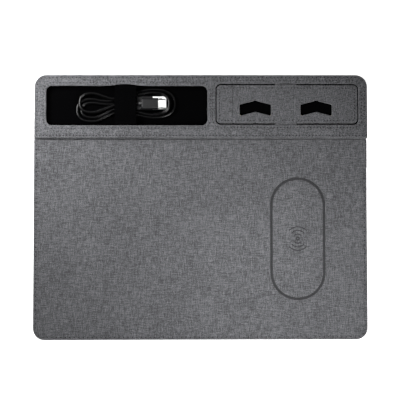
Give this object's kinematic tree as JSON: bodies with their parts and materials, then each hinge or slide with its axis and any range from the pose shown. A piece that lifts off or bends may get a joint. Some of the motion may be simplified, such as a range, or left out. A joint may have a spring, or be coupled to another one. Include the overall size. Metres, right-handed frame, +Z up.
{
  "type": "wireless charging desk pad",
  "caption": "Cloth desk pad with a phone charging zone, a raised rear strip with a cable tray, and a phone stand that folds up from the strip.",
  "frame": {"origin": "middle of the pad's outline, on the surface that it lies on", "axes": "+X along the long side, towards the charging zone; +Y away from the user, towards the raised strip; +Z up"},
  "size_m": [0.301, 0.238, 0.0129],
  "materials": {
    "pad_fabric": "grey linen-look woven polyester, matt",
    "stand_fabric": "the same grey cloth over the stand plate",
    "black_lining": "black flocked lining",
    "black_elastic": "black woven elastic",
    "base_rubber": "fine textured anti-slip sheet",
    "core_board": "grey-brown bookbinding board",
    "eva_foam": "closed-cell foam sheet",
    "mark_film": "heat-pressed dark grey film",
    "housing_plastic": "fine moulded texture",
    "ferrite": "matt dark grey",
    "copper": "enamelled copper wire",
    "circuit_board": "solder resist",
    "chip_plastic": "moulded",
    "cable_jacket": "smooth satin jacket",
    "plug_plastic": "soft-touch moulding",
    "plug_insulator": "moulded",
    "connector_steel": "nickel-plated sheet",
    "magnet_nickel": "nickel plate",
    "keeper_steel": "zinc-plated strip"
  },
  "bodies": {
    "root": {"base_sheet": "base_rubber", "base_board": "core_board", "foam_core": "eva_foam", "main_cover": "pad_fabric", "tray_frame_rails": "eva_foam", "stand_frame_rails": "eva_foam", "well_underlay": "eva_foam", "strip_cover": "pad_fabric", "tray_lining": "black_lining", "stand_well_lining": "black_lining", "stand_well_edging": "black_lining", "elastic_band": "black_elastic", "keeper_plates": "keeper_steel", "charging_outline": "mark_film", "charging_icon": "mark_film", "charger_housing_lower": "housing_plastic", "charger_housing_upper": "housing_plastic", "ferrite_sheet": "ferrite", "transmitter_coil": "copper", "charger_board": "circuit_board", "controller_chips": "chip_plastic", "resonance_capacitors": "chip_plastic", "charger_lead": "cable_jacket", "usb_c_receptacle": "connector_steel", "receptacle_tongue": "chip_plastic", "inlet_bezel": "housing_plastic", "inlet_board": "circuit_board", "centre_panel_board": "core_board", "centre_panel_cover": "stand_fabric", "cable_hank": "cable_jacket", "cable_tail": "cable_jacket", "usb_a_plug_body": "plug_plastic", "usb_a_plug_shell": "connector_steel", "usb_a_plug_tongue": "plug_insulator", "usb_c_plug_body": "plug_plastic", "usb_c_plug_shell": "connector_steel"},
    "left_inner_leg": {"left_inner_leg_board": "core_board", "left_inner_leg_cover": "stand_fabric"},
    "left_outer_leg": {"left_outer_leg_board": "core_board", "left_outer_leg_cover": "stand_fabric"},
    "left_end_flap": {"left_end_flap_board": "core_board", "left_end_flap_cover": "stand_fabric", "left_flap_magnets": "magnet_nickel"},
    "right_inner_leg": {"right_inner_leg_board": "core_board", "right_inner_leg_cover": "stand_fabric"},
    "right_outer_leg": {"right_outer_leg_board": "core_board", "right_outer_leg_cover": "stand_fabric"},
    "right_end_flap": {"right_end_flap_board": "core_board", "right_end_flap_cover": "stand_fabric", "right_flap_magnets": "magnet_nickel"}
  },
  "joints": [
    {"name": "left_stand_fold", "type": "hinge", "parent": "root", "child": "left_inner_leg", "pos_m": [0.0696, 0.0929, 0.0089], "axis": [0, 1, 0], "range_deg": [0, 60]},
    {"name": "left_ridge_fold", "type": "hinge", "parent": "left_inner_leg", "child": "left_outer_leg", "pos_m": [0.0496, 0.0929, 0.0089], "axis": [0, 1, 0], "range_deg": [-120, 0]},
    {"name": "left_flap_fold", "type": "hinge", "parent": "left_outer_leg", "child": "left_end_flap", "pos_m": [0.0296, 0.0929, 0.0089], "axis": [0, 1, 0], "range_deg": [0, 60]},
    {"name": "right_stand_fold", "type": "hinge", "parent": "root", "child": "right_inner_leg", "pos_m": [0.0846, 0.0929, 0.0089], "axis": [0, -1, 0], "range_deg": [0, 60]},
    {"name": "right_ridge_fold", "type": "hinge", "parent": "right_inner_leg", "child": "right_outer_leg", "pos_m": [0.1046, 0.0929, 0.0089], "axis": [0, -1, 0], "range_deg": [-120, 0]},
    {"name": "right_flap_fold", "type": "hinge", "parent": "right_outer_leg", "child": "right_end_flap", "pos_m": [0.1246, 0.0929, 0.0089], "axis": [0, -1, 0], "range_deg": [0, 60]}
  ],
  "couplings": [
    {"joint": "left_ridge_fold", "follows": "left_stand_fold", "ratio": -2},
    {"joint": "left_flap_fold", "follows": "left_stand_fold", "ratio": 1},
    {"joint": "right_ridge_fold", "follows": "right_stand_fold", "ratio": -2},
    {"joint": "right_flap_fold", "follows": "right_stand_fold", "ratio": 1}
  ]
}
